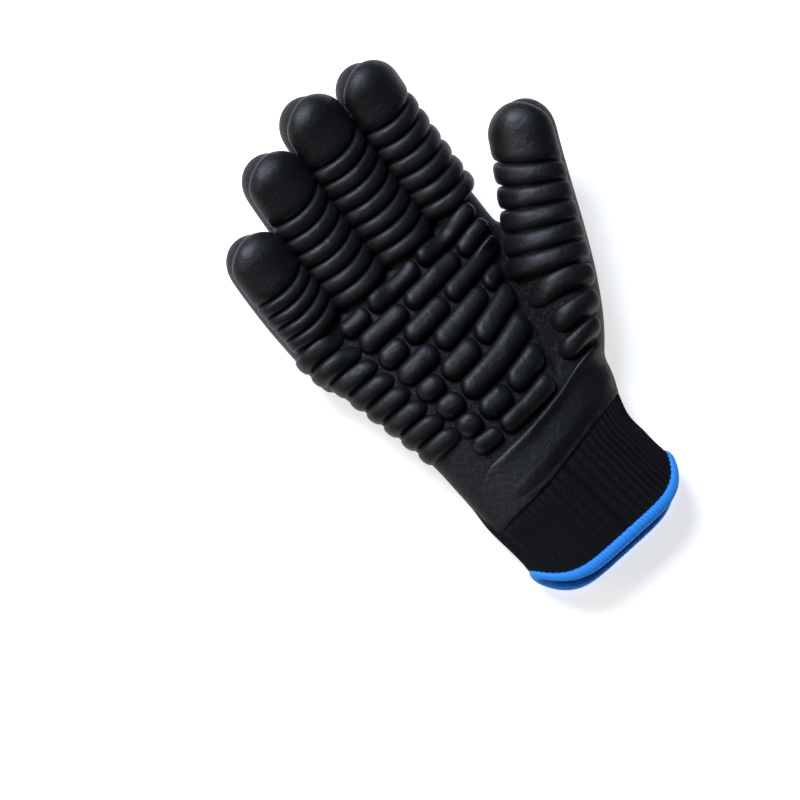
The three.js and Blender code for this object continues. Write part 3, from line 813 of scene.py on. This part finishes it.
# ---- Heel pad
# A broad flat cushion over the heel of the hand, with a raised ridge along its upper edge.
HEEL_RISE, HEEL_RIDGE, HEEL_SINK, HEEL_MARGIN = 1.3, 1.2, 0.25, 0.6
HEEL_TOP = ((-0.3, 0.105), (-0.112, 0.117), (0.031, 0.131), (0.187, 0.158), (0.303, 0.189),
            (0.437, 0.203), (0.6, 0.208))
RIDGE_AT, RIDGE_WIDE, BANK_WIDE = 2.6, 2.5, 2.4
HEEL_SKIN = 0.6
HEEL_LEFT, HEEL_FOOT_RIGHT, HEEL_TOP_RIGHT = -0.33, 0.37, 0.45
heel_top = curve_through(HEEL_TOP)


def on_heel(u, v):
    far = HEEL_FOOT_RIGHT + (HEEL_TOP_RIGHT - HEEL_FOOT_RIGHT) * v
    x = (HEEL_LEFT + (far - HEEL_LEFT) * u) * PALM_WIDE
    foot = heel_edge(x) + HEEL_MARGIN
    return Vector((x, foot + (heel_top(x) - foot) * v, 0))


bpy.ops.object.select_all(action="DESELECT")
bpy.ops.mesh.primitive_grid_add(x_subdivisions=140, y_subdivisions=70, size=1)
heel = bpy.context.object
heel.name = heel.data.name = "heel_skin"
moved = []
for vertex in heel.data.vertices:
    u, v = vertex.co.x + 0.5, vertex.co.y + 0.5
    # a rounded ridge along the upper edge, then a flat that fades towards the foot
    below = (on_heel(u, 1) - on_heel(u, v)).length
    bank = (1 - (1 - min(1, below / BANK_WIDE)) ** 2) ** 0.5
    bank = bank * ease(v, 0, 0.35) * ease(u, 0, 0.45)
    ridge = math.exp(-((below - RIDGE_AT) / RIDGE_WIDE) ** 2) * HEEL_RIDGE * ease(u, 0.05, 0.6)
    base = landing(on_heel(u, v), DOWN)
    moved.extend(metres(base - DOWN * ((HEEL_RISE + HEEL_SINK + ridge) * bank - HEEL_SINK)))
heel.data.vertices.foreach_set("co", moved)
heel.data.update()
modify(heel, "SOLIDIFY", thickness=HEEL_SKIN * MM, offset=-1)
finish_bar(heel, "heel_pad")


# ---- Knitted liner and cuff
# Acrylic and elastane yarn: two-by-two rib at the cuff, plain jersey with its V stitches
# over the back of the hand, running in under the rubber.
RIB_PROUD = 1.5
RIB_ENDS = (-6, 8)
KNIT_UNDER = 0.9
RIB_COUNT = 66
KNIT_ROWS, KNIT_WALL = 84, 1.2


def knit_end(angle):
    point = body_point(0, angle, 0)
    on_palm = heel_edge(point.x) + 4
    reached = min(back_line, key=lambda p: abs(p[0] - point.x))[1]
    on_back = max(reached, on_palm) + 4
    share = ease(math.sin(angle), 0.1, 0.5)
    return on_back + (on_palm - on_back) * share


def on_liner(u, v):
    angle = 2 * math.pi * v
    start = -CUFF_REACH - 1.5
    y = start + (knit_end(angle) - start) * u
    rib = abs(math.cos(math.pi * RIB_COUNT * v)) ** 0.8
    share = ease(math.sin(angle), 0.1, 0.5)
    # the ribs lie flat where they run in under the rubber and into the hem
    last = RIB_ENDS[1]
    stop = last + (min(last, heel_edge(body_point(y, angle, 0).x)) - last) * share
    at_hem = 0.3 + 0.7 * ease(y, start + 3, start + 9)
    amount = (1 - ease(y, stop - 14 + 9 * share, stop)) * at_hem
    return body_point(y, angle, -KNIT_UNDER + RIB_PROUD * (rib - 0.4) * amount)


def yarn(name, code, wales, courses):
    """Dull yarn whose stitches run in columns of V's; wales and courses are the columns
    round the sleeve and the stitches along it, each about 1.4 mm wide and 1.1 mm tall."""
    material, tree = new_material(name)
    where = add_node(tree, "ShaderNodeUVMap").outputs["UV"]
    along, around = add_node(tree, "ShaderNodeSeparateXYZ", links={"Vector": where}).outputs[:2]
    column = math_node(tree, "FRACT", math_node(tree, "MULTIPLY", around, wales), 0.0)
    off = math_node(tree, "ABSOLUTE", math_node(tree, "SUBTRACT", column, 0.5), 0.0)
    slant = math_node(tree, "MULTIPLY", off, 1.3)
    course = math_node(tree, "ADD", math_node(tree, "MULTIPLY", along, courses), slant)
    stitch = math_node(tree, "FRACT", course, 0.0)
    loop = math_node(tree, "SINE", math_node(tree, "MULTIPLY", stitch, math.pi), 0.0)
    leg = math_node(tree, "FRACT", math_node(tree, "MULTIPLY", off, 2.0), 0.0)
    groove = math_node(tree, "SINE", math_node(tree, "MULTIPLY", leg, math.pi), 0.0)
    height = math_node(tree, "MULTIPLY", loop, math_node(tree, "POWER", groove, 0.5))
    relief = add_node(tree, "ShaderNodeBump", {"Strength": 1.0, "Distance": 0.0007},
                      {"Height": height})
    # painted shade: the colour darkens in the groove between two ribs, up to where the ribs end
    wave = math_node(tree, "COSINE", math_node(tree, "MULTIPLY", around, math.pi * RIB_COUNT), 0.0)
    crest = math_node(tree, "POWER", math_node(tree, "ABSOLUTE", wave, 0.0), 1.3)
    place = add_node(tree, "ShaderNodeTexCoord").outputs["Object"]
    forward = add_node(tree, "ShaderNodeSeparateXYZ", links={"Vector": place}).outputs[1]
    starts, ends = ((y + HAND_SHIFT.y) * MM for y in RIB_ENDS)
    jersey = add_node(tree, "ShaderNodeMapRange", {1: starts, 2: ends}, {0: forward}).outputs[0]
    furrow_shade = math_node(tree, "MAXIMUM", crest, jersey)
    # fibres of the yarn catch the light in flecks about 1 mm across
    fleck = add_node(tree, "ShaderNodeTexNoise", {"Scale": 900.0, "Detail": 2.0},
                     {"Vector": place})
    flecked = add_node(tree, "ShaderNodeMapRange", {1: 0.3, 2: 0.7, 3: 0.35, 4: 1.15},
                       {0: fleck.outputs["Fac"]}).outputs[0]
    # painted shade: the yarn colour is pulled towards near black between the stitch loops and in
    # the grooves between ribs
    stitch_shade = math_node(tree, "MULTIPLY", math_node(tree, "POWER", height, 0.7), furrow_shade)
    shade = math_node(tree, "MULTIPLY", stitch_shade, flecked)
    # near black #020304 is the painted shade colour, code is the yarn's own colour
    colour = add_node(tree, "ShaderNodeMix",
                      {"data_type": "RGBA", 6: srgb("#020304"), 7: srgb(code)}, {0: shade})
    shader = add_node(tree, "ShaderNodeBsdfPrincipled",
                      {"Roughness": 0.9, "Specular IOR Level": 0.12,
                       "Sheen Weight": 0.06, "Sheen Roughness": 0.5},
                      {"Base Color": colour.outputs[2], "Normal": relief.outputs[0]})
    finish_material(tree, shader)
    return material


black_yarn = yarn("black_rib_knit", "#1b222b", RIB_COUNT * 2.0, 78.0)
liner = rolled("knit_sleeve", KNIT_ROWS, RIB_COUNT * 6 + 1, on_liner)
modify(liner, "SOLIDIFY", thickness=KNIT_WALL * MM, offset=-1)
liner.data.materials.append(black_yarn)
liner.data.polygons.foreach_set("use_smooth", [True] * len(liner.data.polygons))
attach(liner, "root")
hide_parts("knit_liner")


# ---- Overlocked hem
# Blue polyester thread wrapped round the cuff's raw edge by an overlock machine: slanted
# stitches close together, pulled in where each one bites the knit.
HEM_REACH, HEM_THICK, HEM_INSET = 5.0, 4.0, 1.75
STITCHES = 150


def on_hem(u, v):
    turn = 2 * math.pi * v
    angle = 2 * math.pi * u
    stitch = abs(math.sin(math.pi * (STITCHES * u + 0.9 * math.cos(turn)))) ** 0.6
    out, along = oval(turn, HEM_THICK / 2, HEM_REACH / 2, 2.6)
    swell = 1 + 0.14 * (stitch - 0.7)
    point = body_point(-CUFF_REACH, angle, -HEM_INSET + out * swell)
    point.y += -HEM_REACH / 2 + along * swell
    point.z = max(point.z, 0)
    return point


hem = rolled("cuff_hem_thread", STITCHES * 6 + 1, 25, on_hem)
# bright filament thread with a low sheen
hem_yarn, tree = new_material("blue_polyester_thread")
finish_material(tree, add_node(tree, "ShaderNodeBsdfPrincipled", {
    "Base Color": srgb("#2098ff"), "Roughness": 0.55, "Specular IOR Level": 0.4,
    "Sheen Weight": 0.2, "Sheen Roughness": 0.4,
}))
hem.data.materials.append(hem_yarn)
hem.data.polygons.foreach_set("use_smooth", [True] * len(hem.data.polygons))
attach(hem, "root")
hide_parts("cuff_hem")
